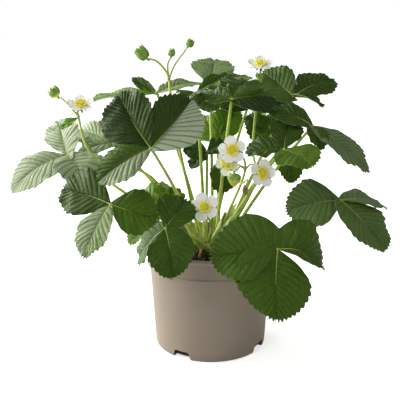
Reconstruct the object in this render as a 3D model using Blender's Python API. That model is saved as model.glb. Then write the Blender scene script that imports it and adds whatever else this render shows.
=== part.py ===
"""A strawberry plant in a 13 cm nursery pot.

The pot, the potting mix, the crown, every leaf stalk and three-leaflet blade, every flower stalk and every flower,
bud and fruit is one closed solid. The origin is on the pot's axis, on the ground, and the front is -Y.
Lengths are written in millimetres and scaled to metres where a mesh is made.
"""
import math
from collections import namedtuple

import bmesh
import bpy
from mathutils import Matrix, Vector

MM = 0.001
GAP = 0.3

# Pot: a tapered wall, a collar under the rim, and a flat floor with drain notches around the foot
POT_HEIGHT = 108.4
POT_BASE_RADIUS = 57.0
POT_WALL_TOP_RADIUS = 62.2
POT_COLLAR_RADIUS = 64.6
POT_RIM_RADIUS = 65.2
POT_COLLAR_BOTTOM = 87.4
POT_WALL = 1.6
POT_FLOOR = 2.0
POT_SIDES = 40
NOTCH_AZIMUTHS = (60, 150, 240, 330)
NOTCH_BOTTOM_WIDTH = 21.0
NOTCH_TOP_WIDTH = 15.0
NOTCH_HEIGHT = 8.5
NOTCH_DEPTH = 9.0

# Potting mix: filled to below the rim and heaped a little around the crown
MIX_EDGE_HEIGHT = 95.0
MIX_CENTRE_HEIGHT = 98.0
MIX_SIDES = 32

# Crown: a flat-topped stub that all the stalks leave
CROWN_RADIUS = 18.5
CROWN_TOP = 103.0
CROWN_RINGS = ((5, 5.2), (8, 10.2), (12, 15.4))  # how many stalks leave each ring, and its radius

# Stalks and blades
PETIOLE_RADIUS = 1.5
PETIOLE_TIP_RADIUS = 1.05
PETIOLE_BOW = 0.10
PETIOLE_BOWS = {"right": -0.08, "far_left": 0.03, "centre_left": 0.05}
STALK_RADIUS = 1.3
PEDICEL_RADIUS = 0.8
TUBE_SIDES = 6
HUB_RADIUS = 1.9
BLADE_THICKNESS = 1.0
BLADE_STATIONS = (0.0, 0.14, 0.34, 0.58, 0.82, 1.0)
BLADE_COLUMNS = (-1.0, -0.5, 0.0, 0.5, 1.0)
BLADE_ROOT_WIDTH = 1.2
BLADE_TIP_WIDTH = 5.0

# A leaflet leaves the junction towards heading (degrees from +X, anticlockwise) and rise (degrees above level).
# roll turns it about its midrib, left side up. fold lifts both halves, bend arches the midrib upwards, and
# curl lowers the margins.
Leaflet = namedtuple("Leaflet", "heading rise roll length width fold bend curl")

# Each leaf: the junction of its three leaflets, then the leaflets
LEAVES = {
    "upper_left": ((-54, -62, 215), [
        Leaflet(129, 39, -49, 67, 52, 14, 0.05, 0.10),
        Leaflet(48, 36, 47, 65, 53, 18, 0.05, 0.10),
        Leaflet(-168, -31, -38, 55, 40, 14, 0.07, 0.15),
    ]),
    "far_left": ((-143, 5, 195), [
        Leaflet(-167, -31, -31, 66, 44, 10, 0.12, 0.15),
        Leaflet(110, 25, -26, 62, 36, 12, 0.05, 0.10),
        Leaflet(-56, -32, 0, 42, 52, 14, 0.10, 0.15),
    ]),
    "left_behind": ((-102, 45, 200), [
        Leaflet(140, 5, -24, 65, 42, 12, 0.06, 0.10),
        Leaflet(-172, -16, -22, 38, 32, 10, 0.10, 0.10),
        Leaflet(78, 20, 10, 51, 44, 12, 0.05, 0.10),
    ]),
    "upper_left_back": ((-57, 55, 252), [
        Leaflet(176, -7, -9, 74, 34, 10, 0.03, 0.10),
        Leaflet(150, 22, -58, 34, 13, 30, -0.05, 0.10),
        Leaflet(47, 5, 7, 62, 34, 12, 0.05, 0.10),
    ]),
    "left": ((-91, -70, 165), [
        Leaflet(150, 8, -54, 56, 47, 14, 0.05, 0.12),
        Leaflet(-1, -19, 48, 44, 46, 12, 0.06, 0.12),
        Leaflet(-133, -52, -8, 53, 37, 10, 0.08, 0.12),
    ]),
    "front_left": ((-41, -78, 145), [
        Leaflet(-75, -51, 8, 47, 41, 12, 0.07, 0.12),
        Leaflet(145, -49, -51, 48, 40, 12, 0.10, 0.10),
        Leaflet(58, 26, 26, 40, 38, 14, 0.05, 0.10),
    ]),
    "front_right": ((60, -88, 129), [
        Leaflet(179, -7, -46, 60, 58, 12, 0.06, 0.12),
        Leaflet(-94, -55, -5, 63, 60, 8, 0.05, 0.14),
        Leaflet(12, -25, 30, 47, 50, 26, 0.22, 0.15),
    ]),
    "right": ((128, -15, 155), [
        Leaflet(-178, -10, -45, 54, 54, 14, 0.06, 0.12),
        Leaflet(-26, -44, 22, 64, 47, 12, 0.07, 0.12),
        Leaflet(27, -14, 14, 54, 36, 8, 0.12, 0.10),
    ]),
    "upper_right": ((85, 45, 250), [
        Leaflet(133, 25, -34, 49, 40, 14, 0.04, 0.10),
        Leaflet(34, 15, 24, 56, 42, 6, 0.06, 0.14),
        Leaflet(-34, -16, -8, 34, 25, 10, 0.12, 0.10),
    ]),
    "right_upper": ((99, -5, 227), [
        Leaflet(152, 14, -22, 50, 32, 8, 0.06, 0.12),
        Leaflet(-11, -38, 24, 69, 36, 10, 0.05, 0.12),
        Leaflet(-75, -45, 5, 28, 20, 20, 0.10, 0.10),
    ]),
    "right_inner": ((69, -28, 208), [
        Leaflet(-58, -12, 14, 42, 45, 10, 0.07, 0.12),
        Leaflet(76, 31, 10, 42, 32, 14, 0.05, 0.10),
        Leaflet(172, -6, -20, 36, 38, 12, 0.07, 0.10),
    ]),
    "top_right": ((20, 0, 252), [
        Leaflet(27, -1, 28, 48, 48, -4, 0.08, 0.12),
        Leaflet(135, 3, -28, 30, 30, 14, 0.08, 0.10),
        Leaflet(72, 15, 8, 52, 44, 12, 0.05, 0.10),
    ]),
    "top": ((-1, 75, 258), [
        Leaflet(86, 22, 5, 60, 48, 12, 0.04, 0.10),
        Leaflet(40, 6, 8, 54, 44, 12, 0.05, 0.10),
        Leaflet(-55, -12, 0, 40, 34, 12, 0.05, 0.10),
    ]),
    "top_front": ((-15, 35, 254), [
        Leaflet(44, 16, 8, 52, 20, 30, 0.02, 0.00),
        Leaflet(-100, 1, 4, 36, 32, 12, 0.06, 0.10),
        Leaflet(-45, -32, 20, 30, 36, 12, 0.10, 0.10),
    ]),
    "right_back": ((76, 45, 198), [
        Leaflet(150, 32, -44, 52, 30, 14, 0.05, 0.10),
        Leaflet(116, 30, -7, 52, 40, 12, 0.05, 0.10),
        Leaflet(-74, -56, 0, 42, 29, 16, 0.08, 0.10),
    ]),
    "centre_back": ((7, 70, 199), [
        Leaflet(117, 33, -28, 40, 36, 14, 0.05, 0.10),
        Leaflet(52, 39, 31, 46, 34, 14, 0.05, 0.10),
        Leaflet(-165, -2, -4, 30, 24, 12, 0.08, 0.10),
    ]),
    "centre": ((14, 25, 178), [
        Leaflet(72, 23, -4, 32, 20, 14, 0.05, 0.10),
        Leaflet(180, -27, -30, 15, 17, 14, 0.08, 0.10),
        Leaflet(-108, -46, -38, 29, 30, 22, 0.05, 0.10),
    ]),
    "centre_left": ((-4, 36, 194), [
        Leaflet(172, 2, -42, 25, 24, 14, 0.05, 0.10),
        Leaflet(-164, -44, -20, 25, 22, 14, 0.05, 0.10),
        Leaflet(10, 26, 40, 20, 18, 14, 0.05, 0.10),
    ]),
    "back_upper": ((42, 87, 239), [
        Leaflet(170, 0, -44, 42, 34, 12, 0.05, 0.10),
        Leaflet(8, -4, 42, 42, 34, 12, 0.05, 0.10),
        Leaflet(60, -40, 20, 32, 28, 12, 0.05, 0.10),
    ]),
    "left_inner": ((-44, -22, 152), [
        Leaflet(136, 9, -25, 39, 34, 14, 0.06, 0.10),
        Leaflet(74, 27, 14, 26, 30, 14, 0.05, 0.10),
        Leaflet(-170, -47, -28, 53, 29, 12, 0.08, 0.10),
    ]),
}

# Each flower stalk: the points that the main stalk passes after the crown, then its side branches, which
# start on the main stalk
FLOWER_STALKS = {
    "left": ([(-60, 8, 172), (-113, -15, 197), (-127, -15, 237), (-125, -15, 244)],
             [[(-127, -15, 237), (-137, -15, 249), (-143, -15, 255)]]),
    "tall": ([(-32, 25, 197), (-39, 20, 239), (-42, 20, 269), (-45, 20, 277), (-53, 20, 286), (-61, 20, 289)],
             [[(-42, 20, 269), (-43, 20, 283), (-40, 20, 290)],
              [(-42, 20, 269), (-36, 20, 283), (-24, 20, 299)]]),
    "middle": ([(21, -8, 148), (29, -15, 170), (33, -22, 187), (31, -26, 199), (24, -33, 205)],
               [[(33, -22, 187), (26, -22, 192), (20, -22, 193)],
                [(33, -22, 187), (39, -25, 193), (45, -33, 188)],
                [(33, -22, 187), (29, -34, 193), (24, -39, 190)],
                [(29, -15, 170), (35, -26, 178), (34, -30, 174)]]),
    "front": ([(1, -14, 127), (-5, -38, 148), (-6, -42, 155)], []),
    "top": ([(44, 8, 165), (43, 30, 198), (47, 43, 244), (50, 45, 263), (50, 45, 278)], []),
}

# Open flowers: centre, the way the face looks, and the radius over the petals
Flower = namedtuple("Flower", "centre facing radius")
FLOWERS = {
    "front": Flower((-6, -46, 156), (0.01, -0.94, 0.35), 13.5),
    "middle_upper": Flower((20, -39, 209), (0.01, -0.92, 0.40), 13.0),
    "middle_lower": Flower((16, -26, 194), (-0.30, -0.95, -0.04), 12.0),
    "middle_right": Flower((48, -39, 187), (0.36, -0.87, 0.34), 13.0),
    "left": Flower((-124, -16, 248), (0.05, -0.50, 0.86), 12.5),
    "top": Flower((50, 44, 282), (0.0, -0.45, 0.89), 13.0),
}

# Buds and young fruit: centre, the way the tip points, length and greatest radius
Bud = namedtuple("Bud", "centre facing length radius")
BUDS = {
    "bud_far_left": Bud((-149, -15, 260), (-0.6, 0.0, 0.8), 13, 6),
    "bud_tall_left": Bud((-68, 20, 294), (-0.7, 0.0, 0.7), 16, 6.5),
    "bud_tall_middle": Bud((-39, 20, 295), (0.2, 0.0, 1.0), 9, 4),
    "bud_tall_right": Bud((-21, 20, 304), (0.5, 0.0, 0.8), 9, 4.5),
    "fruit_young": Bud((22, -41, 181), (0.0, -0.4, -0.9), 14, 6.5),
    "flower_wilted": Bud((33, -31, 168), (0.1, -0.1, -1.0), 10, 4.5),
}

# A small single leaf on some flower stalks: where it leaves the stalk, then the leaf
BRACTS = {
    "left": ((-127, -15.3, 236), Leaflet(-165, -30, -30, 21, 11, 12, 0.05, 0.1)),
    "front": ((-5.4, -40, 151.5), Leaflet(-175, 12, -60, 24, 9, 12, 0.05, 0.1)),
    "top": ((50, 45, 262), Leaflet(-120, 60, 0, 14, 7, 12, 0.05, 0.1)),
}


def material(name, colour, roughness):
    """One Principled material, with its colour as linear red, green and blue."""
    surface = bpy.data.materials.new(name)
    surface.use_nodes = True
    shader = surface.node_tree.nodes["Principled BSDF"]
    shader.inputs["Base Color"].default_value = (*colour, 1.0)
    shader.inputs["Roughness"].default_value = roughness
    shader.inputs["Metallic"].default_value = 0.0
    return surface


COLOURS = {
    "pot": ((0.19, 0.145, 0.108), 0.5),
    "mix": ((0.012, 0.009, 0.007), 0.95),
    "crown": ((0.13, 0.12, 0.045), 0.8),
    "leaf": ((0.030, 0.085, 0.016), 0.45),
    "stalk": ((0.21, 0.30, 0.075), 0.5),
    "petal": ((0.83, 0.82, 0.76), 0.6),
    "bud": ((0.20, 0.31, 0.05), 0.6),
}


def finish(name, bm, kind):
    """Turns a mesh drawn in millimetres into a named object in metres."""
    bmesh.ops.recalc_face_normals(bm, faces=bm.faces)
    bmesh.ops.scale(bm, vec=(MM, MM, MM), verts=bm.verts)
    mesh = bpy.data.meshes.new(name)
    bm.to_mesh(mesh)
    bm.free()
    mesh.shade_smooth()
    mesh.set_sharp_from_angle(angle=math.radians(40))
    thing = bpy.data.objects.new(name, mesh)
    thing.data.materials.append(material(name, *COLOURS[kind]))
    bpy.context.collection.objects.link(thing)
    return thing


def hide_tool(thing):
    """A cutter or a joining piece, which is not part of the object."""
    thing.hide_render = True
    thing.display_type = "WIRE"
    return thing


def boolean(thing, tool, operation, join_itself=False):
    step = thing.modifiers.new(operation.lower(), "BOOLEAN")
    step.operation = operation
    step.solver = "EXACT"
    step.object = hide_tool(tool)
    step.use_self = join_itself


def bridge(bm, rings):
    """Joins rings of vertices into a tube, with a flat cap on each end."""
    count = len(rings[0])
    for low, high in zip(rings, rings[1:]):
        for i in range(count):
            j = (i + 1) % count
            bm.faces.new((low[i], low[j], high[j], high[i]))
    bm.faces.new(rings[0][::-1])
    bm.faces.new(rings[-1])


def turned(bm, profile, sides):
    """Turns a profile of (radius, height) about Z. A radius of 0 is a point on the axis."""
    rings = []
    for radius, height in profile:
        if radius == 0:
            rings.append([bm.verts.new((0, 0, height))])
            continue
        angles = [2 * math.pi * i / sides for i in range(sides)]
        rings.append([bm.verts.new((radius * math.cos(a), radius * math.sin(a), height)) for a in angles])
    for low, high in zip(rings, rings[1:]):
        for i in range(sides):
            j = (i + 1) % sides
            corners = [low[i % len(low)], low[j % len(low)], high[j % len(high)], high[i % len(high)]]
            bm.faces.new(list(dict.fromkeys(corners)))


def make_pot():
    """Injection-moulded shell: foot, tapered wall, ridge, collar and rolled rim, all of one wall thickness."""
    inner_top = POT_COLLAR_RADIUS - POT_WALL
    inner_wall_top = POT_WALL_TOP_RADIUS - POT_WALL
    profile = [
        (0, 0),
        (POT_BASE_RADIUS - 1.5, 0),
        (POT_BASE_RADIUS, 1.5),
        (POT_WALL_TOP_RADIUS, POT_COLLAR_BOTTOM - 1.0),
        (POT_COLLAR_RADIUS + 0.5, POT_COLLAR_BOTTOM),
        (POT_COLLAR_RADIUS + 0.5, POT_COLLAR_BOTTOM + 1.2),
        (POT_COLLAR_RADIUS, POT_COLLAR_BOTTOM + 2.0),
        (POT_COLLAR_RADIUS, POT_HEIGHT - 4.0),
        (POT_RIM_RADIUS, POT_HEIGHT - 3.4),
        (POT_RIM_RADIUS, POT_HEIGHT - 0.8),
        (POT_RIM_RADIUS - 0.8, POT_HEIGHT),
        (inner_top, POT_HEIGHT),
        (inner_top - 0.4, POT_COLLAR_BOTTOM + 1.5),
        (inner_wall_top, POT_COLLAR_BOTTOM - 2.0),
        (POT_BASE_RADIUS - POT_WALL, POT_FLOOR + 1.0),
        (POT_BASE_RADIUS - POT_WALL - 1.0, POT_FLOOR),
        (0, POT_FLOOR),
    ]
    bm = bmesh.new()
    turned(bm, profile, POT_SIDES)
    pot = finish("pot", bm, "pot")
    boolean(pot, make_notch_cutter(), "DIFFERENCE")


def make_notch_cutter():
    """Four wedges that cut the drain notches through the wall and the edge of the floor."""
    bm = bmesh.new()
    for azimuth in NOTCH_AZIMUTHS:
        turn = Matrix.Rotation(math.radians(azimuth), 4, "Z")
        rings = []
        for radius in (POT_BASE_RADIUS - NOTCH_DEPTH, POT_BASE_RADIUS + 4.0):
            corners = [
                (radius, -NOTCH_BOTTOM_WIDTH / 2, -1.0),
                (radius, NOTCH_BOTTOM_WIDTH / 2, -1.0),
                (radius, NOTCH_TOP_WIDTH / 2, NOTCH_HEIGHT),
                (radius, -NOTCH_TOP_WIDTH / 2, NOTCH_HEIGHT),
            ]
            rings.append([bm.verts.new(turn @ Vector(c)) for c in corners])
        bridge(bm, rings)
    return finish("notch_cutter", bm, "pot")


def pot_inner_radius(height):
    """Inside radius of the pot's tapered wall."""
    share = (height - POT_FLOOR - 1.0) / (POT_COLLAR_BOTTOM - 3.0 - POT_FLOOR)
    bottom = POT_BASE_RADIUS - POT_WALL
    return bottom + share * (POT_WALL_TOP_RADIUS - POT_WALL - bottom)


def make_mix():
    """The potting mix fills the pot with a flat underside and a low heap on top."""
    inset = 0.8
    profile = [
        (0, POT_FLOOR + GAP),
        (POT_BASE_RADIUS - POT_WALL - 2.0, POT_FLOOR + GAP),
        (pot_inner_radius(6.0) - inset, 6.0),
        (pot_inner_radius(POT_COLLAR_BOTTOM - 3.0) - inset, POT_COLLAR_BOTTOM - 3.0),
        (pot_inner_radius(POT_COLLAR_BOTTOM - 3.0) - inset, MIX_EDGE_HEIGHT),
        (42.0, MIX_EDGE_HEIGHT + 1.5),
        (CROWN_RADIUS + 3.0, MIX_CENTRE_HEIGHT),
        (0, MIX_CENTRE_HEIGHT),
    ]
    bm = bmesh.new()
    turned(bm, profile, MIX_SIDES)
    finish("potting_mix", bm, "mix")


def make_crown():
    """The short woody base, standing in the middle of the mix."""
    foot = MIX_CENTRE_HEIGHT + GAP
    profile = [(0, foot), (CROWN_RADIUS, foot), (CROWN_RADIUS - 0.6, CROWN_TOP - 1.5), (CROWN_RADIUS - 2.0, CROWN_TOP),
               (0, CROWN_TOP)]
    bm = bmesh.new()
    turned(bm, profile, 20)
    finish("crown", bm, "crown")


def curve_points(points, steps):
    """A smooth curve through all the points, as evenly many positions on each stretch."""
    points = [Vector(p) for p in points]
    padded = [2 * points[0] - points[1], *points, 2 * points[-1] - points[-2]]
    curve = []
    for a, b, c, d in zip(padded, padded[1:], padded[2:], padded[3:]):
        for i in range(steps):
            t = i / steps
            curve.append(0.5 * (2 * b + (c - a) * t + (2 * a - 5 * b + 4 * c - d) * t * t
                                + (3 * b - a - 3 * c + d) * t ** 3))
    return curve + [points[-1]]


def tube(bm, path, start_radius, end_radius, level_start=False):
    """A six-sided tube along a path. A level start sits flat on a level surface."""
    rings = []
    side = Vector((1, 0, 0))
    for i, point in enumerate(path):
        along = (path[min(i + 1, len(path) - 1)] - path[max(i - 1, 0)]).normalized()
        if level_start and i == 0:
            along = Vector((0, 0, 1))
        side = (side - along * side.dot(along)).normalized()
        up = along.cross(side)
        radius = start_radius + (end_radius - start_radius) * i / (len(path) - 1)
        angles = [2 * math.pi * k / TUBE_SIDES for k in range(TUBE_SIDES)]
        rings.append([bm.verts.new(point + side * radius * math.cos(a) + up * radius * math.sin(a)) for a in angles])
    bridge(bm, rings)


def hub(centre, radius):
    """A small ball that joins what meets in it."""
    bm = bmesh.new()
    bmesh.ops.create_icosphere(bm, subdivisions=1, radius=radius, matrix=Matrix.Translation(centre))
    return finish("hub", bm, "stalk")


def leaflet_axes(leaf):
    """The directions along the midrib, to its left and out of the upper face."""
    heading, rise, roll = (math.radians(a) for a in (leaf.heading, leaf.rise, leaf.roll))
    along = Vector((math.cos(rise) * math.cos(heading), math.cos(rise) * math.sin(heading), math.sin(rise)))
    level = Vector((-math.sin(heading), math.cos(heading), 0))
    up = along.cross(level)
    left = level * math.cos(roll) + up * math.sin(roll)
    return along, left, up * math.cos(roll) - level * math.sin(roll)


def leaflet_half_width(leaf, u):
    """Half the width at the share u of the length: a wedge at the base, broadest past the middle, a round end."""
    share = math.sin(math.pi * min(u, 1.0) ** 1.22) if u < 1 else 0.0
    least = BLADE_ROOT_WIDTH + (BLADE_TIP_WIDTH - BLADE_ROOT_WIDTH) * u
    return max(share ** (0.95 - 0.42 * u) * leaf.width / 2, least / 2)


def leaflet_point(base, leaf, u, v):
    """A point of the blade at the share u along the midrib and v from the right margin (-1) to the left (1)."""
    along, left, up = leaflet_axes(leaf)
    half = leaflet_half_width(leaf, u)
    fold = math.radians(leaf.fold)
    lift = abs(v) * half * math.sin(fold) - leaf.curl * v * v * half + 4 * leaf.bend * leaf.length * u * (1 - u)
    return Vector(base) + along * leaf.length * u + left * v * half * math.cos(fold) + up * lift


def leaflet_solid(bm, base, leaf):
    """One leaflet as a thin closed solid."""
    up = leaflet_axes(leaf)[2]
    sheets = []
    for offset in (BLADE_THICKNESS / 2, -BLADE_THICKNESS / 2):
        sheets.append([[bm.verts.new(leaflet_point(base, leaf, u, v) + up * offset) for v in BLADE_COLUMNS]
                       for u in BLADE_STATIONS])
    top, under = sheets
    rows, columns = len(BLADE_STATIONS), len(BLADE_COLUMNS)
    for i in range(rows - 1):
        for j in range(columns - 1):
            for sheet in sheets:
                bm.faces.new((sheet[i][j], sheet[i][j + 1], sheet[i + 1][j + 1], sheet[i + 1][j]))
    rim = [(i, 0) for i in range(rows)] + [(rows - 1, j) for j in range(1, columns)]
    rim += [(i, columns - 1) for i in range(rows - 2, -1, -1)] + [(0, j) for j in range(columns - 2, 0, -1)]
    for (i, j), (k, m) in zip(rim, rim[1:] + rim[:1]):
        bm.faces.new((top[i][j], top[k][m], under[k][m], under[i][j]))


def make_blade(name, junction, leaflets):
    """Three leaflets, grown together at the junction."""
    bm = bmesh.new()
    for leaf in leaflets:
        leaflet_solid(bm, junction, leaf)
    blade = finish(name, bm, "leaf")
    boolean(blade, hub(junction, HUB_RADIUS), "UNION", join_itself=True)


def crown_seats():
    """Where each stalk leaves the crown's top: the upright ones in the middle, the far-reaching ones outside."""
    ends = {f"petiole_{name}": junction for name, (junction, _) in LEAVES.items()}
    ends.update({f"flower_stalk_{name}": main[0] for name, (main, _) in FLOWER_STALKS.items()})
    waiting = sorted(ends, key=lambda name: math.hypot(*ends[name][:2]))
    seats = {}
    for count, radius in CROWN_RINGS:
        bearings = {name: math.atan2(ends[name][1], ends[name][0]) for name in waiting[:count]}
        order = sorted(bearings, key=bearings.get)
        step = 2 * math.pi / count
        start = sum(bearings[name] - step * i for i, name in enumerate(order)) / count
        for i, name in enumerate(order):
            angle = start + step * i
            seats[name] = Vector((radius * math.cos(angle), radius * math.sin(angle), CROWN_TOP + GAP))
        waiting = waiting[count:]
    return seats


def make_petiole(name, seat, junction, bow):
    """A leaf stalk from the crown to just short of the junction, bowed upwards by a share of its span."""
    junction = Vector(junction)
    span = junction - seat
    knee = seat + span * 0.45 + Vector((0, 0, bow * span.length))
    path = []
    steps = 6
    for i in range(steps + 1):
        t = i / steps
        path.append(seat * (1 - t) ** 2 + knee * 2 * t * (1 - t) + junction * t * t)
    arrive = (path[-1] - path[-2]).normalized()
    path[-1] = junction - arrive * (HUB_RADIUS + 2 * GAP)
    bm = bmesh.new()
    tube(bm, path, PETIOLE_RADIUS, PETIOLE_TIP_RADIUS, level_start=True)
    finish(name, bm, "stalk")


def make_bract(base, leaf):
    """A small leaf, to be joined to its stalk."""
    bm = bmesh.new()
    leaflet_solid(bm, base, leaf)
    return finish("bract", bm, "leaf")


def make_flower_stalk(name, seat, main, branches, bract):
    """A flower stalk with its side branches and its bract, if it has one."""
    bm = bmesh.new()
    tube(bm, curve_points([seat, *main], 2), STALK_RADIUS, PEDICEL_RADIUS, level_start=True)
    for branch in branches:
        tube(bm, curve_points(branch, 2), PEDICEL_RADIUS, PEDICEL_RADIUS)
    stalk = finish(name, bm, "stalk")
    for i, start in enumerate(sorted({branch[0] for branch in branches})):
        boolean(stalk, hub(start, STALK_RADIUS * 1.2), "UNION", join_itself=i == 0)
    if bract:
        boolean(stalk, make_bract(*bract), "UNION")


def facing_matrix(centre, facing):
    """Places a shape drawn about Z so that +Z looks along facing."""
    turn = Vector(facing).normalized().to_track_quat("Z", "Y").to_matrix().to_4x4()
    return Matrix.Translation(centre) @ turn


def make_flower(name, flower):
    """Five round petals, the domed centre and the green cup behind them, grown as one head."""
    petals, per_petal = 5, 3
    count = petals * per_petal
    levels = [(3.0, -2.0, False), (1.0, -0.9, True), (1.0, 0.1, True), (4.4, 0.7, False), (3.4, 2.4, False)]
    bm = bmesh.new()
    rings = []
    for size, height, is_petal in levels:
        ring = []
        for i in range(count):
            angle = 2 * math.pi * i / count
            reach = flower.radius * (0.72 + 0.28 * abs(math.cos(petals * angle / 2))) if is_petal else size
            ring.append(bm.verts.new((reach * math.cos(angle), reach * math.sin(angle), height)))
        rings.append(ring)
    bridge(bm, rings)
    bm.transform(facing_matrix(flower.centre, flower.facing))
    finish(name, bm, "petal")


def make_bud(name, bud):
    """A closed bud or a young fruit: broad near the stalk and pointed at the tip."""
    shape = [(0, -0.5), (0.45, -0.46), (0.9, -0.25), (1.0, 0.0), (0.7, 0.3), (0, 0.5)]
    bm = bmesh.new()
    turned(bm, [(bud.radius * r, bud.length * h) for r, h in shape], 9)
    bm.transform(facing_matrix(bud.centre, bud.facing))
    finish(name, bm, "bud")


def main():
    for thing in list(bpy.data.objects):
        bpy.data.objects.remove(thing, do_unlink=True)
    make_pot()
    make_mix()
    make_crown()
    seats = crown_seats()
    for name, (junction, leaflets) in LEAVES.items():
        bow = PETIOLE_BOWS.get(name, PETIOLE_BOW)
        make_petiole(f"petiole_{name}", seats[f"petiole_{name}"], junction, bow)
        make_blade(f"leaf_{name}", junction, leaflets)
    for name, (main_path, branches) in FLOWER_STALKS.items():
        seat = seats[f"flower_stalk_{name}"]
        make_flower_stalk(f"flower_stalk_{name}", seat, main_path, branches, BRACTS.get(name))
    for name, flower in FLOWERS.items():
        make_flower(f"flower_{name}", flower)
    for name, bud in BUDS.items():
        make_bud(name, bud)


main()
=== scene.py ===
# %% [markdown]
# # A strawberry plant in a nursery pot
# The plant is a rosette: every leaf stalk and flower stalk leaves one short crown in the middle of the
# pot. The frame loaded here holds plain solids for the pot, the mix, the leaves and the flowers, each in
# its real place. Each cell below makes the finished surface of one kind of piece, in metres, in that same
# frame.

# %% Load the frame
import math
import random
from collections import namedtuple

import bmesh
import bpy
import numpy as np
from mathutils import Matrix, Vector, noise


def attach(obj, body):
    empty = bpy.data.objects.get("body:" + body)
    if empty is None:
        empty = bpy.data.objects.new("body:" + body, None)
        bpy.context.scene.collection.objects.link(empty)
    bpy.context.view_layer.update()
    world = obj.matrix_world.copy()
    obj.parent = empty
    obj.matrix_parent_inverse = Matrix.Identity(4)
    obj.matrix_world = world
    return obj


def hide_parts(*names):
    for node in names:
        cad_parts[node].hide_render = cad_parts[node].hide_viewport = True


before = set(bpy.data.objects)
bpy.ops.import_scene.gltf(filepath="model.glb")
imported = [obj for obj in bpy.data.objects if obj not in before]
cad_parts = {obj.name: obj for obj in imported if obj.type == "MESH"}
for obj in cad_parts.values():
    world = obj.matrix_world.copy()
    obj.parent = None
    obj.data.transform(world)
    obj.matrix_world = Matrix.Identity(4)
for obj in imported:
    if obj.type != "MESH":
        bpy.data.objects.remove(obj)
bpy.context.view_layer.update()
MM = 0.001
CROWN_TOP = 103.0     # the height of the crown's top over the ground, mm
print("nodes in the frame:", len(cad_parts))

# %% [markdown]
# ## Camera, light and floor
# The plant stands on a pale floor in a white studio. The camera looks 15 degrees down from a little above
# the top leaves. A large soft lamp stands on the left and a little behind, so the left leaves shine and
# the pot has a bright left edge. A weaker one in front opens the shadows, one at the back lights the
# leaves from behind, and the weakest, on the right, keeps that side from going black. Soft lamps are area
# lights, because their size sets how soft a shadow's edge is.

# %% Camera
def new_object(name, data):
    thing = bpy.data.objects.new(name, data)
    bpy.context.collection.objects.link(thing)
    return thing


camera_data = bpy.data.cameras.new("camera")
camera_data.lens = 63.0
camera_data.sensor_width = 36.0
camera = new_object("camera", camera_data)
camera.location = (0.0, -0.6807, 0.333)
camera.rotation_euler = (math.radians(75.0), 0.0, math.radians(0.91))
bpy.context.scene.camera = camera


# %% Colours: sRGB hex to the linear values that shaders use
def linear(hex_colour):
    channels = [int(hex_colour[i:i + 2], 16) / 255 for i in (1, 3, 5)]
    return tuple(c / 12.92 if c <= 0.04045 else ((c + 0.055) / 1.055) ** 2.4 for c in channels) + (1.0,)


# %% Shader nodes: fill the inputs of one, or add a new one
def fill(node, inputs):
    """Gives inputs numbers, hex colours or other nodes' outputs. A node stands for its first output."""
    for key, value in inputs.items():
        if isinstance(value, bpy.types.Node):
            value = value.outputs[0]
        if isinstance(value, bpy.types.NodeSocket):
            node.id_data.links.new(value, node.inputs[key])
        else:
            node.inputs[key].default_value = linear(value) if isinstance(value, str) else value


def add(tree, kind, inputs=(), **settings):
    """Adds one shader node. Its inputs are a dictionary, or a list in the node's own order."""
    node = tree.nodes.new("ShaderNode" + kind)
    for name, value in settings.items():
        setattr(node, name, value)
    fill(node, inputs if isinstance(inputs, dict) else dict(enumerate(inputs)))
    return node


# %% Lamps
def soft_lamp(name, place, aim, size, power, colour):
    data = bpy.data.lights.new(name, "AREA")
    data.shape = "RECTANGLE"
    data.size, data.size_y = size
    data.energy = power
    data.color = linear(colour)[:3]
    lamp = new_object(name, data)
    lamp.location = place
    lamp.rotation_euler = (Vector(aim) - Vector(place)).to_track_quat("-Z", "Y").to_euler()


soft_lamp("lamp_left_back", (-1.15, 0.30, 0.60), (0, 0, 0.18), (0.8, 1.1), 28.5, "#fffdf8")
soft_lamp("lamp_front_left", (-0.8, -1.0, 1.2), (0, 0, 0.15), (0.7, 0.7), 8.5, "#ffffff")
soft_lamp("lamp_back", (-0.8, 1.05, 0.55), (0, 0, 0.2), (1.0, 0.7), 13.0, "#ffffff")
soft_lamp("lamp_right", (1.3, -0.3, 0.75), (0, 0, 0.18), (0.9, 0.9), 4.5, "#ffffff")

# %% Surroundings: the camera sees pure white, and the plant is lit by a dimmer room
world = bpy.data.worlds.new("white_studio")
world.use_nodes = True
bpy.context.scene.world = world
studio = world.node_tree
studio.nodes.clear()
seen = add(studio, "LightPath")
backdrop = add(studio, "Background", ["#ffffff", 1.0])
room = add(studio, "Background", ["#f2f4f6", 0.225])
either = add(studio, "MixShader", [seen.outputs["Is Camera Ray"], room, backdrop])
add(studio, "OutputWorld", {"Surface": either})
bpy.context.scene.view_settings.view_transform = "Standard"

# %% Floor
floor_mesh = bpy.data.meshes.new("floor")
floor_mesh.from_pydata([(-6, -3, 0), (6, -3, 0), (6, 9, 0), (-6, 9, 0)], [], [(0, 1, 2, 3)])
floor = new_object("floor", floor_mesh)
floor_paint = bpy.data.materials.new("white_floor")
floor_paint.use_nodes = True
paint = floor_paint.node_tree
# Lit from below as a light table is, a little less near the pot, so that a faint contact shadow stays
spot = add(paint, "TexCoord")
away = add(paint, "VectorMath", [spot.outputs["Object"]], operation="LENGTH")
glow = add(paint, "MapRange", [away.outputs["Value"], 0.06, 0.45, 0.62, 1.0])
ray = add(paint, "LightPath")
table = add(paint, "Math", [glow, ray.outputs["Is Camera Ray"]], operation="MULTIPLY")
fill(paint.nodes["Principled BSDF"], {"Base Color": "#e8e8e6", "Roughness": 0.9, "Emission Color": "#ffffff",
                                      "Emission Strength": table})
floor_mesh.materials.append(floor_paint)

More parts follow.
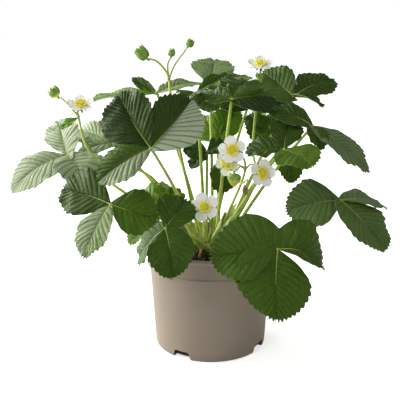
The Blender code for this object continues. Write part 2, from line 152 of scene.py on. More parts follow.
# %% [markdown]
# ## Materials
# Living tissue is wet inside and waxy outside. Its colour comes from pigment under a clear skin, so each
# green is a dielectric with a soft gloss, and thin pieces let some light through. In Blender that is a
# Principled shader with subsurface scattering whose radius is more than the leaf's thickness.
# A leaf's vein pattern follows the leaf and not the room, so each leaf carries a map named Veins: its
# first number counts the side veins from the base to the tip, and its second is the share of the way from
# the midrib to the margin.


# %% Start of a material
def start_material(name, roughness, specular, glow=0.0, glow_colour="#7fae35"):
    """A Principled material and its own coordinates. glow is how much light scatters through a thin piece."""
    made = bpy.data.materials.new(name)
    made.use_nodes = True
    tree = made.node_tree
    shader = tree.nodes["Principled BSDF"]
    fill(shader, {"Roughness": roughness, "Specular IOR Level": specular})
    if glow:
        fill(shader, {"Subsurface Weight": glow, "Subsurface Radius": linear(glow_colour)[:3],
                      "Subsurface Scale": 1.5 * MM})
    return made, tree, shader, add(tree, "TexCoord").outputs["Object"]


# %% Vein mask, shared by the two leaf faces
def vein_masks(tree, body):
    """How much a point is on the midrib and on a side vein, the net between them, and the count of veins."""
    place = add(tree, "UVMap", uv_map="Veins")
    parts = add(tree, "SeparateXYZ", [place])
    count, share = parts.outputs["X"], parts.outputs["Y"]
    part = add(tree, "Math", [count], operation="FRACT")
    off = add(tree, "Math", [part, 0.5], operation="SUBTRACT")
    away = add(tree, "Math", [off], operation="ABSOLUTE")
    side = add(tree, "MapRange", [away, 0.03, 0.17, 1.0, 0.0], interpolation_type="SMOOTHSTEP")
    distance = add(tree, "Math", [share], operation="ABSOLUTE")
    midrib = add(tree, "MapRange", [distance, 0.005, 0.024, 1.0, 0.0], interpolation_type="SMOOTHSTEP")
    # The fine net has cells of about 1.6 mm
    net = add(tree, "TexVoronoi", {"Vector": body, "Scale": 1000 / 1.6}, feature="DISTANCE_TO_EDGE")
    return midrib, side, net.outputs["Distance"], count


# %% Leaf, upper face
def leaf_upper_face():
    """Deeply quilted, dark green and with fine hairs; a pale sheen and a dark shade are painted into its
    colour.
    """
    made, tree, shader, body = start_material("strawberry_leaf_upper", 0.36, 0.18, 0.12)
    midrib, side, net, count = vein_masks(tree, body)
    tone = add(tree, "Attribute", attribute_name="tone")
    # Patches of 25 mm drift between a deep green and a lighter one, and young leaves are yellower
    drift = add(tree, "TexNoise", {"Vector": body, "Scale": 1000 / 25, "Detail": 2.0})
    old = add(tree, "MixRGB", [drift, "#334e09", "#4f6f10"])
    toned = add(tree, "MixRGB", [tone.outputs["Fac"], old, "#7fa62a"])
    # The leaflet's painted light value: positive lays a painted pale sheen on the green, negative a painted
    # dark shade
    bloom = add(tree, "Attribute", attribute_name="bloom").outputs["Fac"]
    # The painted sheen lies on the bulges only, so the creases stay dark
    crests = add(tree, "Math", [side, -0.6, 1.0], operation="MULTIPLY_ADD")
    crest_light = add(tree, "Math", [bloom, crests], operation="MULTIPLY")
    painted_sheen = add(tree, "Math", [crest_light, 0.0], operation="MAXIMUM")
    pale = add(tree, "MixRGB", [painted_sheen, toned, "#c0cbab"])
    negative = add(tree, "Math", [bloom, -1.0], operation="MULTIPLY")
    painted_shade = add(tree, "Math", [negative, 0.0], operation="MAXIMUM")
    shaded = add(tree, "MixRGB", [painted_shade, pale, "#142404"])
    # Painted shade: the sunk creases of the fine net are darkened toward a dark green
    hollow = add(tree, "MapRange", [net, 0.0, 0.25, 0.8, 0.0])
    faint = add(tree, "Math", [hollow, 0.35], operation="MULTIPLY")
    crease_shaded = add(tree, "MixRGB", [faint, shaded, "#1c330c"])
    weak = add(tree, "Math", [side, 0.14], operation="MULTIPLY")
    sided = add(tree, "MixRGB", [weak, crease_shaded, "#5f8530"])
    # The midrib is palest by the leaf stalk and fades towards the tip
    fading = add(tree, "MapRange", [count, 0.5, 7.0, 0.48, 0.10])
    soft = add(tree, "Math", [midrib, fading], operation="MULTIPLY")
    ribbed = add(tree, "MixRGB", [soft, sided, "#8aa64a"])
    # Relief: pillows between the fine veins, sunk side veins and midrib, and crinkles 2.6 mm across
    pillow = add(tree, "MapRange", [net, 0.0, 0.35, 0.0, 0.6])
    crease = add(tree, "Math", [side, -1.0, pillow], operation="MULTIPLY_ADD")
    sunk = add(tree, "Math", [midrib, -1.0, crease], operation="MULTIPLY_ADD")
    crinkle = add(tree, "TexNoise", {"Vector": body, "Scale": 1000 / 2.6, "Detail": 3.0})
    rough = add(tree, "Math", [crinkle, 2.6, sunk], operation="MULTIPLY_ADD")
    bump = add(tree, "Bump", {"Height": rough, "Distance": 0.45 * MM, "Strength": 0.9})
    fill(shader, {"Base Color": ribbed, "Sheen Weight": 0.03, "Sheen Roughness": 0.40,
                  "Sheen Tint": "#dfeccb", "Normal": bump})
    return made


# %% Leaf, lower face
def leaf_lower_face():
    """Paler and duller than the upper face, with raised light veins and silky hairs."""
    made, tree, shader, body = start_material("strawberry_leaf_lower", 0.62, 0.35, 0.25)
    midrib, side, _, _ = vein_masks(tree, body)
    tone = add(tree, "Attribute", attribute_name="tone")
    drift = add(tree, "TexNoise", {"Vector": body, "Scale": 1000 / 18, "Detail": 2.0})
    base = add(tree, "MixRGB", [drift, "#6d8c4e", "#86a45f"])
    toned = add(tree, "MixRGB", [tone.outputs["Fac"], base, "#a3c44e"])
    both = add(tree, "Math", [side, midrib], operation="MAXIMUM")
    part = add(tree, "Math", [both, 0.7], operation="MULTIPLY")
    veined = add(tree, "MixRGB", [part, toned, "#b3c47c"])
    bump = add(tree, "Bump", {"Height": both, "Distance": 0.4 * MM, "Strength": 0.8})
    fill(shader, {"Base Color": veined, "Sheen Weight": 0.3, "Sheen Tint": "#f2f6ea", "Normal": bump})
    return made


# %% Stalks, petals, hearts, sepals
def fleshy(name, pale, deep, grain_mm, roughness, glow, sheen, bump_mm=0.08, specular=0.45,
           glow_colour="#7fae35"):
    """Plant tissue with a mottle between two colours and an uneven skin, drawn at 0.8 mm so that it shows."""
    made, tree, shader, body = start_material(name, roughness, specular, glow, glow_colour)
    mottle = add(tree, "TexNoise", {"Vector": body, "Scale": 1000 / grain_mm, "Detail": 4.0})
    spread = add(tree, "MapRange", [mottle, 0.35, 0.65])
    mixed = add(tree, "MixRGB", [spread, pale, deep])
    skin = add(tree, "TexNoise", {"Vector": body, "Scale": 1000 / 0.8, "Detail": 2.0})
    bump = add(tree, "Bump", {"Height": skin, "Distance": bump_mm * MM, "Strength": 0.7})
    fill(shader, {"Base Color": mixed, "Sheen Weight": sheen, "Normal": bump})
    return made


LEAF_UPPER = leaf_upper_face()
LEAF_LOWER = leaf_lower_face()
# A stalk's hairs soften its gloss, petals are velvety and nearly matte, and pollen and hearts are dusty.
# Sepals and buds are waxy, a young fruit has the smoothest skin, and dried tissue and bark are dull.
STALK = fleshy("stalk_soft_hairy", "#c4d06a", "#9cb340", 9.0, 0.44, 0.2, 0.05)
PETAL = fleshy("petal_white_velvet", "#ffffff", "#f9faf4", 5.0, 0.62, 0.3, 0.1, 0.05, 0.3, "#ffffff")
POLLEN = fleshy("anther_yellow", "#fff64a", "#fbe526", 1.2, 0.6, 0.1, 0.1, 0.1, 0.4, "#ffe070")
HEART = fleshy("flower_heart", "#fdf662", "#f3ea40", 1.5, 0.55, 0.1, 0.1, 0.1, 0.4, "#ffe070")
SEPAL = fleshy("sepal_green", "#86ad42", "#5f8a2c", 4.0, 0.5, 0.2, 0.1)
YOUNG_BUD = fleshy("bud_yellow_green", "#b9cc55", "#9dbb3c", 3.0, 0.5, 0.3, 0.1)
YOUNG_FRUIT = fleshy("young_fruit_skin", "#d6d04c", "#b7bc3c", 3.0, 0.42, 0.3, 0.2)
ACHENE = fleshy("achene_seed", "#cfc04e", "#a89a34", 1.0, 0.5, 0.0, 0.0)
DRY = fleshy("dried_flower_tissue", "#b79b52", "#7d6530", 2.5, 0.8, 0.1, 0.2, 0.15)
SHEATH = fleshy("sheath_pale_green", "#cdd684", "#a9bc58", 5.0, 0.5, 0.3, 0.3)
CROWN_BARK = fleshy("crown_fibre", "#6b5a35", "#3d3a1c", 3.0, 0.85, 0.0, 0.1, 0.4)
print("materials, with those of the floor and the solids:", len(bpy.data.materials))


# %% [markdown]
# ## Pot plastic
# The pot is injection-moulded polypropylene in taupe: one colour all through, a fine matte texture from
# the mould, and slightly uneven gloss where it was handled. The eye reads the matte from a broad soft
# highlight on the left.


# %% Moulded polypropylene
def moulded_polypropylene():
    made, tree, shader, body = start_material("polypropylene_taupe_moulded", 0.46, 0.5)
    # Faint cloudiness of the recycled plastic, 30 mm across
    cloud = add(tree, "TexNoise", {"Vector": body, "Scale": 1000 / 30, "Detail": 4.0})
    base = add(tree, "MixRGB", [cloud, "#8a7c6e", "#938576"])
    # Dust and scuffs, about 3.5 mm across
    scuff = add(tree, "TexNoise", {"Vector": body, "Scale": 1000 / 3.5, "Detail": 6.0, "Roughness": 0.7})
    worn = add(tree, "MapRange", [scuff, 0.58, 0.75, 0.0, 0.25])
    dusty = add(tree, "MixRGB", [worn, base, "#a09384"])
    gloss = add(tree, "MapRange", [cloud, 0.3, 0.7, 0.42, 0.52])
    # The mould's spark texture, drawn at 0.7 mm so that it shows
    spark = add(tree, "TexNoise", {"Vector": body, "Scale": 1000 / 0.7, "Detail": 3.0})
    bump = add(tree, "Bump", {"Height": spark, "Distance": 0.05 * MM, "Strength": 0.5})
    fill(shader, {"Base Color": dusty, "Roughness": gloss, "Normal": bump})
    return made


# %% Potting mix: moist peat, fibre and composted bark
def peat(name, dark, brown, grain_mm):
    """Dull, broken grains of two browns, with a relief about 1 mm across."""
    made, tree, shader, body = start_material(name, 0.85, 0.35)
    grain = add(tree, "TexVoronoi", {"Vector": body, "Scale": 1000 / grain_mm})
    tint = add(tree, "RGBToBW", [grain.outputs["Color"]])
    mixed = add(tree, "MixRGB", [tint, dark, brown])
    rough = add(tree, "TexNoise", {"Vector": body, "Scale": 1000 / 1.0, "Detail": 5.0})
    bump = add(tree, "Bump", {"Height": rough, "Distance": 0.6 * MM, "Strength": 0.9})
    fill(shader, {"Base Color": mixed, "Normal": bump})
    return made


POT_PLASTIC = moulded_polypropylene()
PEAT = peat("peat_moist", "#0e0b08", "#2b2018", 1.5)
BARK = peat("composted_bark", "#231a12", "#4d3826", 2.5)

# %% [markdown]
# ## Shapes from grids and tubes
# Leaves, petals and sepals are thin sheets, and stalks are thin tubes. Both are easy to write as a grid
# of points, so one small class collects grids and tubes into one mesh, with the faces' materials, the
# Veins map, the leaf's tone and its painted light: a painted sheen or a painted shade.


# %% Points and faces that every shape uses
def around(reach, angle, height):
    """A point at a distance and angle round Z."""
    return reach * math.cos(angle), reach * math.sin(angle), height


def unit_grid(rows, columns):
    """The way along a sheet as a column from 0 to 1, and across it as a row from -1 to 1."""
    return np.linspace(0, 1, rows)[:, None], np.linspace(-1, 1, columns)[None, :]


def tube_faces(rings, sides):
    """The faces of a tube that is closed at both ends, whose points are listed ring by ring."""
    faces = []
    for i in range(rings - 1):
        for k in range(sides):
            n = (k + 1) % sides
            faces.append((i * sides + k, i * sides + n, (i + 1) * sides + n, (i + 1) * sides + k))
    return [*faces, tuple(range(sides))[::-1], tuple(range((rings - 1) * sides, rings * sides))]


def ball(level):
    bm = bmesh.new()
    bmesh.ops.create_icosphere(bm, subdivisions=level, radius=1.0)
    points = np.array([v.co[:] for v in bm.verts])
    faces = [tuple(v.index for v in f.verts) for f in bm.faces]
    bm.free()
    return points, faces


BALLS = {level: ball(level) for level in (1, 2, 3)}


# %% A collector for meshes
class Shape:
    """Collects sheets, tubes and lumps in millimetres, and makes one object of them in metres."""

    def __init__(self):
        self.points, self.faces, self.slots, self.maps, self.tones, self.painted_lights = [], [], [], [], [], []
        self.count = 0

    def put(self, points, faces, slot, vein_map=None, tone=0.0, bloom=0.0):
        points = np.asarray(points, float).reshape(-1, 3)
        self.points.append(points)
        self.faces += [tuple(i + self.count for i in face) for face in faces]
        self.slots += list(slot) if isinstance(slot, (list, tuple)) else [slot] * len(faces)
        self.maps.append(np.zeros((len(points), 2)) if vein_map is None else vein_map)
        self.tones.append(np.full(len(points), tone))
        self.painted_lights.append(np.broadcast_to(bloom, len(points)))
        self.count += len(points)

    def sheet(self, grid, thickness, upper=0, lower=0, vein_map=None, tone=0.0, bloom=0.0):
        """A thin closed sheet under a grid of points (rows, columns, 3)."""
        rows, columns = grid.shape[:2]
        along = np.gradient(grid, axis=0)
        across = np.gradient(grid, axis=1)
        out = np.cross(along, across)
        out /= np.maximum(np.linalg.norm(out, axis=2, keepdims=True), 1e-9)
        under = grid - out * thickness
        index = np.arange(rows * columns).reshape(rows, columns)
        a, b, c, d = index[:-1, :-1], index[:-1, 1:], index[1:, 1:], index[1:, :-1]
        top = np.stack([a, d, c, b], -1).reshape(-1, 4)
        bottom = np.stack([a, b, c, d], -1).reshape(-1, 4) + rows * columns
        edge = np.concatenate([index[0, :], index[1:, -1], index[-1, -2::-1], index[-2:0:-1, 0]])
        after = np.roll(edge, -1)
        rim = np.stack([edge, after, after + rows * columns, edge + rows * columns], -1)
        faces = [tuple(f) for f in np.concatenate([top, bottom, rim]).tolist()]
        slots = [upper] * len(top) + [lower] * (len(bottom) + len(rim))
        both = None if vein_map is None else np.concatenate([vein_map.reshape(-1, 2)] * 2)
        self.put(np.concatenate([grid.reshape(-1, 3), under.reshape(-1, 3)]), faces, slots, both, tone, bloom)

    def tube(self, path, radii, sides, slot=0):
        """A tube along a path, closed at both ends."""
        path = np.asarray(path, float)
        radii = np.broadcast_to(radii, len(path))
        side = np.array([1.0, 0.0, 0.0])
        rings = []
        for i, point in enumerate(path):
            along = path[min(i + 1, len(path) - 1)] - path[max(i - 1, 0)]
            along /= max(np.linalg.norm(along), 1e-9)
            side = side - along * side.dot(along)
            if np.linalg.norm(side) < 1e-3:
                side = np.cross(along, [0.0, 1.0, 0.0])
            side /= np.linalg.norm(side)
            up = np.cross(along, side)
            turn = 2 * np.pi * np.arange(sides) / sides
            rings.append(point + radii[i] * (np.cos(turn)[:, None] * side + np.sin(turn)[:, None] * up))
        self.put(np.concatenate(rings), tube_faces(len(path), sides), slot)

    def lump(self, centre, radii, slot=0, turn=None, level=1):
        """A small ball, stretched and turned."""
        points, faces = BALLS[level]
        points = points * np.asarray(radii, float)
        if turn is not None:
            points = points @ np.array(turn.to_3x3()).T
        self.put(points + np.asarray(centre, float), faces, slot)

    def make(self, name, materials, node, slot, sharp=60.0):
        """Makes the object. It stands for one node of the frame. slot is not used."""
        points = np.concatenate(self.points) * MM
        mesh = bpy.data.meshes.new(name)
        mesh.from_pydata(points.tolist(), [], self.faces)
        for material in materials:
            mesh.materials.append(material)
        mesh.polygons.foreach_set("material_index", np.array(self.slots, dtype=np.int32))
        corner = np.empty(len(mesh.loops), dtype=np.int32)
        mesh.loops.foreach_get("vertex_index", corner)
        vein_map = mesh.uv_layers.new(name="Veins")
        vein_map.data.foreach_set("uv", np.concatenate(self.maps)[corner].astype(np.float32).ravel())
        # The second layer holds the painted sheen and painted shade of the leaf colour
        for label, values in (("tone", self.tones), ("bloom", self.painted_lights)):
            layer = mesh.attributes.new(label, "FLOAT", "POINT")
            layer.data.foreach_set("value", np.concatenate(values).astype(np.float32))
        mesh.shade_smooth()
        mesh.set_sharp_from_angle(angle=math.radians(sharp))
        mesh.update()
        piece = new_object(name, mesh)
        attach(piece, "root")
        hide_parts(node)
        return piece

# %% [markdown]
# ## Where the leaves are
# A leaflet is placed as a gardener would describe it: the way it points round the pot (heading), how
# steeply it rises, how far it is rolled about its midrib, its length and width, and how sharply it is
# folded. Its painted light is a pale sheen (positive) or a dark shade (negative) painted into its colour,
# and a pair is for its left half and its right half. bend arches it and curl turns its margin down.
# A leaf's junction is where the leaf stalk ends and the three leaflets begin. tone is how young it is,
# from 0 (full grown and dark) to 1 (just unfolding and yellow green). quilt is how deeply the blade
# bulges between its veins, fullness how much wider the stalk-ward half of a side leaflet is, and
# deep_fold how much steeper the fold is by the midrib, in degrees.

# %% Leaves on the left
Leaflet = namedtuple("Leaflet", "heading rise roll length width fold bloom bend curl", defaults=(0.05, 0.10))
Leaf = namedtuple("Leaf", "junction tone leaflets quilt fullness deep_fold", defaults=(0.65, 1.1, 8.0))
LEFT_LEAVES = {
    "upper_left": Leaf((-54, -62, 215), 0.0, [
        Leaflet(129, 39, -49, 67, 52, 14, (-0.75, -0.6)),
        Leaflet(48, 36, 47, 65, 53, 18, (-0.55, 0.95)),
        Leaflet(-168, -31, -38, 55, 40, 14, (0.5, 0.0), 0.07, 0.15),
    ], quilt=1.15, fullness=0.4, deep_fold=18.0),
    "far_left": Leaf((-143, 5, 195), 0.08, [
        Leaflet(-167, -31, -31, 66, 44, 10, 0.56, 0.12, 0.15),
        Leaflet(110, 25, -26, 62, 36, 12, 0.8),
        Leaflet(-56, -32, 0, 42, 52, 14, 0.78, 0.1, 0.15),
    ], quilt=0.38),
    "left_behind": Leaf((-102, 45, 200), 0.22, [
        Leaflet(140, 5, -24, 65, 42, 12, 0.45, 0.06),
        Leaflet(-172, -16, -22, 38, 32, 10, 0.3, 0.1),
        Leaflet(78, 20, 10, 51, 44, 12, 0.4),
    ], quilt=0.45),
    "upper_left_back": Leaf((-57, 55, 252), 0.55, [
        Leaflet(176, -7, -9, 74, 34, 10, -0.1, 0.03),
        Leaflet(150, 22, -58, 34, 13, 30, -0.6, -0.05),
        Leaflet(47, 5, 7, 62, 34, 12, 0.3),
    ]),
    "left": Leaf((-91, -70, 165), 0.22, [
        Leaflet(150, 8, -54, 56, 47, 14, -0.6, 0.05, 0.12),
        Leaflet(-1, -19, 48, 44, 46, 12, -0.12, 0.06, 0.12),
        Leaflet(-133, -52, -8, 53, 37, 10, (0.28, 0.5), 0.08, 0.12),
    ], quilt=0.75, fullness=0.6),
    "front_left": Leaf((-41, -78, 145), 0.0, [
        Leaflet(-75, -51, 8, 47, 41, 12, -0.2, 0.07, 0.12),
        Leaflet(145, -49, -51, 48, 40, 12, 0.12, 0.1),
        Leaflet(58, 26, 26, 40, 38, 14, -0.2),
    ]),
}

# %% Leaves on the right
RIGHT_LEAVES = {
    "front_right": Leaf((60, -88, 129), 0.08, [
        Leaflet(179, -7, -46, 60, 58, 12, -0.1, 0.06, 0.12),
        Leaflet(-94, -55, -5, 63, 60, 8, -0.15, 0.05, 0.14),
        Leaflet(12, -25, 30, 47, 50, 26, (-0.15, -0.35), 0.22, 0.15),
    ], quilt=0.95, fullness=2.2),
    "right": Leaf((128, -15, 155), 0.05, [
        Leaflet(-178, -10, -45, 54, 54, 14, 0.14, 0.06, 0.12),
        Leaflet(-26, -44, 22, 64, 47, 12, 0.08, 0.07, 0.12),
        Leaflet(27, -14, 14, 54, 36, 8, 0.22, 0.12),
    ]),
    "upper_right": Leaf((85, 45, 250), 0.0, [
        Leaflet(133, 25, -34, 49, 40, 14, 0.05, 0.04),
        Leaflet(34, 15, 24, 56, 42, 6, -0.45, 0.06, 0.14),
        Leaflet(-34, -16, -8, 34, 25, 10, -0.3, 0.12),
    ]),
    "right_upper": Leaf((99, -5, 227), 0.0, [
        Leaflet(152, 14, -22, 50, 32, 8, -0.35, 0.06, 0.12),
        Leaflet(-11, -38, 24, 69, 36, 10, 0.22, 0.05, 0.12),
        Leaflet(-75, -45, 5, 28, 20, 20, -0.4, 0.1),
    ]),
    "right_inner": Leaf((69, -28, 208), 0.35, [
        Leaflet(-58, -12, 14, 42, 45, 10, -0.1, 0.07, 0.12),
        Leaflet(76, 31, 10, 42, 32, 14, -0.65),
        Leaflet(172, -6, -20, 36, 38, 12, -0.65, 0.07),
    ], fullness=0.5),
}

# %% Leaves at the top, at the back and in the middle
LEAVES = {
    **LEFT_LEAVES,
    **RIGHT_LEAVES,
    "top_right": Leaf((20, 0, 252), 0.28, [
        Leaflet(27, -1, 28, 48, 48, -4, (-0.1, -0.9), 0.08, 0.12),
        Leaflet(135, 3, -28, 30, 30, 14, -0.5, 0.08),
        Leaflet(72, 15, 8, 52, 44, 12, -0.6),
    ]),
    "top": Leaf((-1, 75, 258), 0.36, [
        Leaflet(86, 22, 5, 60, 48, 12, 0.34, 0.04),
        Leaflet(40, 6, 8, 54, 44, 12, 0.25),
        Leaflet(-55, -12, 0, 40, 34, 12, -0.1),
    ]),
    "top_front": Leaf((-15, 35, 254), 0.22, [
        Leaflet(44, 16, 8, 52, 20, 30, (-0.2, -0.6), 0.02, 0.0),
        Leaflet(-100, 1, 4, 36, 32, 12, -0.45, 0.06),
        Leaflet(-45, -32, 20, 30, 36, 12, 0.3, 0.1),
    ]),
    "right_back": Leaf((76, 45, 198), 0.4, [
        Leaflet(150, 32, -44, 52, 30, 14, -0.4),
        Leaflet(116, 30, -7, 52, 40, 12, -0.1),
        Leaflet(-74, -56, 0, 42, 29, 16, -0.3, 0.08),
    ]),
    "centre_back": Leaf((7, 70, 199), 0.6, [
        Leaflet(117, 33, -28, 40, 36, 14, 0.0),
        Leaflet(52, 39, 31, 46, 34, 14, 0.0),
        Leaflet(-165, -2, -4, 30, 24, 12, 0.0, 0.08),
    ]),
    "centre": Leaf((14, 25, 178), 0.65, [
        Leaflet(72, 23, -4, 32, 20, 14, -0.2),
        Leaflet(180, -27, -30, 15, 17, 14, -0.5, 0.08),
        Leaflet(-108, -46, -38, 29, 30, 22, -0.5),
    ]),
    "centre_left": Leaf((-4, 36, 194), 0.0, [
        Leaflet(172, 2, -42, 25, 24, 14, -0.5),
        Leaflet(-164, -44, -20, 25, 22, 14, -0.5),
        Leaflet(10, 26, 40, 20, 18, 14, -0.4),
    ]),
    "back_upper": Leaf((42, 87, 239), 0.0, [
        Leaflet(170, 0, -44, 42, 34, 12, -0.5),
        Leaflet(8, -4, 42, 42, 34, 12, -0.5),
        Leaflet(60, -40, 20, 32, 28, 12, -0.5),
    ]),
    "left_inner": Leaf((-44, -22, 152), 0.6, [
        Leaflet(136, 9, -25, 39, 34, 14, 0.0, 0.06),
        Leaflet(74, 27, 14, 26, 30, 14, 0.0),
        Leaflet(-170, -47, -28, 53, 29, 12, 0.0, 0.08),
    ]),
}
print("leaves:", len(LEAVES))

# %% [markdown]
# ## One leaflet
# A strawberry leaflet is a pleated sheet: it bulges between its side veins, and each side vein runs
# straight out to one tooth of the margin. A square grid would cut across the veins and blur both, so this
# grid follows them: a row of the grid leaves the midrib and sweeps forward as a vein does, with six rows
# from one tooth to the next.


# %% Directions and outline of a leaflet
def leaflet_axes(leaf):
    """The directions along the midrib, to its left and out of the upper face."""
    heading, rise, roll = (math.radians(a) for a in (leaf.heading, leaf.rise, leaf.roll))
    along = np.array([math.cos(rise) * math.cos(heading), math.cos(rise) * math.sin(heading), math.sin(rise)])
    level = np.array([-math.sin(heading), math.cos(heading), 0.0])
    up = np.cross(along, level)
    left = level * math.cos(roll) + up * math.sin(roll)
    return along, left, up * math.cos(roll) - level * math.sin(roll)


def half_width(leaf, u, fullness):
    """A wedge at the base, broadest past the middle, with a round end. fullness, 0 to 1, rounds the base."""
    share = np.sin(np.pi * np.clip(u, 0, 1) ** (1.14 - 0.40 * fullness)).clip(0, 1)
    return np.maximum(share ** (0.78 - 0.25 * u * (1 - fullness) - 0.16 * fullness) * leaf.width / 2, 0.7)


# %% The pleated, toothed sheet
ROWS_PER_TOOTH = 6
COLUMNS = 10            # on each side of the midrib
BLADE_SHEET = 0.35      # thickness, mm
TOOTH_SPACING = 4.9     # along the midrib, mm
TOOTH_REACH = 2.1       # on a leaflet of TOOTH_LENGTH, mm
TOOTH_LENGTH = 62       # mm
VEIN_GROOVE = 0.16      # depth over a side vein, mm
MIDRIB_GROOVE = 0.55    # mm
WRINKLE = 0.45          # height of the uneven waves of the blade, mm
WAVE_TURN = 6.28        # a full turn, radians


def leaflet_sheet(leaf, seed, quilt, tooth_size, deep_fold, full_side):
    """The upper face as a grid of points from the junction, and its Veins map.

    A side leaflet is fuller on the half that faces the leaf stalk. A positive full_side is its left half.
    """
    chance = random.Random(seed)
    teeth = min(14, max(6, round(leaf.length / TOOTH_SPACING)))
    s, t = unit_grid(ROWS_PER_TOOTH * teeth + 1, 2 * COLUMNS + 1)
    side = np.sign(t)
    far = np.abs(t)
    # The two halves of a leaflet are never quite the same
    lean = chance.uniform(-0.10, 0.10)
    margin_u = 1 - (1 - s) ** 2.3
    u = s + (margin_u - s) * far ** 1.2
    fullness = np.clip(full_side * side, 0, 1)
    half = half_width(leaf, margin_u, fullness) * (1 + lean * t) * (1 + 0.22 * fullness ** 2)
    across = t * half
    # The fuller half's base also reaches back past the junction
    along = (u - 0.16 * fullness * far ** 1.5 * np.exp(-margin_u / 0.3)) * leaf.length
    # Teeth lean forward, along their veins
    beat = s * teeth
    share = beat - np.floor(beat)
    shape = np.where(share < 0.6, (0.6 - share) / 0.6, (share - 0.6) / 0.4)
    tooth = 1 - shape ** 1.15
    sizes = np.array([chance.uniform(0.75, 1.2) for _ in range(teeth + 1)])[np.floor(beat).astype(int)]
    fade = np.clip((s - 0.10) / 0.15, 0, 1)
    reach = tooth * sizes * fade * TOOTH_REACH * tooth_size * math.sqrt(leaf.length / TOOTH_LENGTH) * far ** 7
    slope = (margin_u - s) * leaf.length * 1.2
    norm = np.sqrt(slope ** 2 + half ** 2)
    along = along + reach * slope / norm + (reach * 0.8) * np.clip((s - 0.85) / 0.15, 0, 1)
    across = across + side * reach * half / norm
    # Height over the flat blade: folded, arched, drooping at the margin, pleated, and a little wavy
    fold = math.radians(leaf.fold)
    valley = math.radians(leaf.fold + deep_fold)
    lift = np.abs(across) * math.sin(valley) - math.sin(valley - fold) * far ** 2 * half * 0.8
    lift = lift - leaf.curl * far ** 2 * half + 4 * leaf.bend * leaf.length * u * (1 - u)
    inner = np.clip(far / 0.28, 0, 1)
    ends = np.clip(s / 0.16, 0, 1) * np.clip((1 - s) / 0.12, 0, 1)
    uneven = 0.75 + 0.35 * np.sin(2.1 * beat + chance.uniform(0, 6)) * np.sin(5.0 * t + chance.uniform(0, 6))
    lift = lift + quilt * uneven * np.cos(np.pi * beat) ** 2 * inner * (1 - 0.35 * far ** 4) * ends
    between = np.abs(share - 0.5)
    lift = lift - VEIN_GROOVE * np.exp(-(between / 0.12) ** 2) * inner * ends
    for _ in range(3):
        run, cross, start = chance.uniform(3, 8), chance.uniform(2, 5), chance.uniform(0, WAVE_TURN)
        lift = lift + WRINKLE * np.sin(run * WAVE_TURN / 2 * u + cross * t + start) * far * ends
    lift = lift - MIDRIB_GROOVE * np.exp(-(np.abs(across) / 1.0) ** 2) * np.clip((1 - s) / 0.2, 0, 1)
    # Each half's margin waves in its own way
    for half_sign in (-1, 1):
        turns, start, size = chance.uniform(2.0, 3.2), chance.uniform(0, WAVE_TURN), chance.uniform(0.5, 1.3)
        lift = lift + (side == half_sign) * size * far ** 3 * np.sin(turns * WAVE_TURN * s + start) * ends
    # A gentle sideways sweep of the midrib
    sweep = chance.uniform(-0.03, 0.03) * leaf.length
    across = across * math.cos(fold) + sweep * 4 * u * (1 - u)
    forward, left, up = leaflet_axes(leaf)
    grid = along[..., None] * forward + across[..., None] * left + lift[..., None] * up
    return grid, np.stack(np.broadcast_arrays(beat, t), -1)


# %% Leaflet with its midrib, and a whole leaf
FULL_SIZE = 50          # a shorter leaflet bulges less, mm


def add_leaflet(shape, base, leaf, seed, tone, quilt, tooth_size=1.0, thickness=BLADE_SHEET, deep_fold=8.0,
                full_side=0.0):
    grid, vein_map = leaflet_sheet(leaf, seed, quilt, tooth_size, deep_fold, full_side)
    base = np.asarray(base, float)
    # Painted sheen and painted shade; a pair paints each half of the leaflet its own light
    bloom = leaf.bloom
    if isinstance(bloom, tuple):
        left, right = bloom
        turnover = np.clip(0.5 + 4 * vein_map[..., 1], 0, 1).ravel()
        bloom = np.tile(right + (left - right) * turnover, 2)
    grid = grid + base
    shape.sheet(grid, thickness, 0, 1, vein_map, tone, bloom)
    # The midrib stands out under the blade
    up = leaflet_axes(leaf)[2]
    spine = grid[::4, COLUMNS] - up * (thickness + 0.10)
    spine = np.concatenate([[base - up * 0.3], spine[1:-1]])
    shape.tube(spine, np.linspace(0.95, 0.18, len(spine)) * min(1, leaf.length / 45), 7, 2)


def make_leaf(name, leaf, number):
    shape = Shape()
    to_stalk = np.array([0.0, 0.0, CROWN_TOP]) - leaf.junction
    to_stalk /= np.linalg.norm(to_stalk)
    for i, leaflet in enumerate(leaf.leaflets):
        quilt = leaf.quilt * min(1, leaflet.length / FULL_SIZE)
        full_side = leaf.fullness * leaflet_axes(leaflet)[1].dot(to_stalk)
        add_leaflet(shape, leaf.junction, leaflet, number * 10 + i, leaf.tone, quilt,
                    deep_fold=leaf.deep_fold, full_side=full_side)
    shape.lump(leaf.junction, (1.3, 1.3, 1.3), 2, level=2)
    return shape.make(f"blade_{name}", [LEAF_UPPER, LEAF_LOWER, STALK], f"leaf_{name}", "leaf_green")


for number, (name, leaf) in enumerate(LEAVES.items()):
    made = make_leaf(name, leaf, number)
print("leaves:", len(LEAVES), "points in the last one:", len(made.data.vertices))

# %% [markdown]
# ## Stalks
# A leaf stalk is a soft round stem that thickens where it leaves the crown. It could be a curve with a
# bevel, but a tube in the collector keeps the thickness under control from end to end, and its base can
# flare.

# %% Where each stalk leaves the crown
CROWN_RADIUS = 18.5
GAP = 0.3               # between a stalk's foot and the crown, mm
CROWN_RINGS = ((5, 5.2), (8, 10.2), (12, 15.4))     # stalks in each ring, and its radius
PETIOLE_BOW = 0.10
PETIOLE_BOWS = {"right": -0.08, "far_left": 0.03, "centre_left": 0.05}

